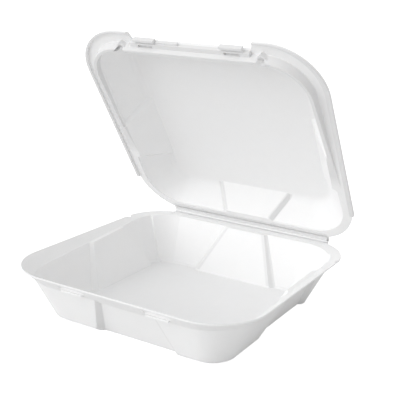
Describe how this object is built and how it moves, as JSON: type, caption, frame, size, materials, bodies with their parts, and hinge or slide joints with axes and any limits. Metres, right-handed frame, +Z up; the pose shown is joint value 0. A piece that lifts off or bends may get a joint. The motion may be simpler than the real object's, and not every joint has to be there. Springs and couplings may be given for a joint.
{
  "type": "foam clamshell container",
  "caption": "Square food box of moulded foam with flared rims, recessed wall panels and a hinged lid that stands open.",
  "frame": {"origin": "on the table under the middle of the tray's rim", "axes": "+X along the hinge, +Y from the front to the hinge, +Z up"},
  "size_m": [0.2428, 0.244, 0.2456],
  "materials": {
    "foam": "white foamed plastic with a satin skin"
  },
  "bodies": {
    "tray": {"tray": "foam"},
    "lid": {"lid": "foam"}
  },
  "joints": [
    {"name": "lid_hinge", "type": "hinge", "parent": "tray", "child": "lid", "pos_m": [0, 0.1193, 0.048], "axis": [-1, 0, 0], "range_deg": [-55.7, 124.3]}
  ]
}
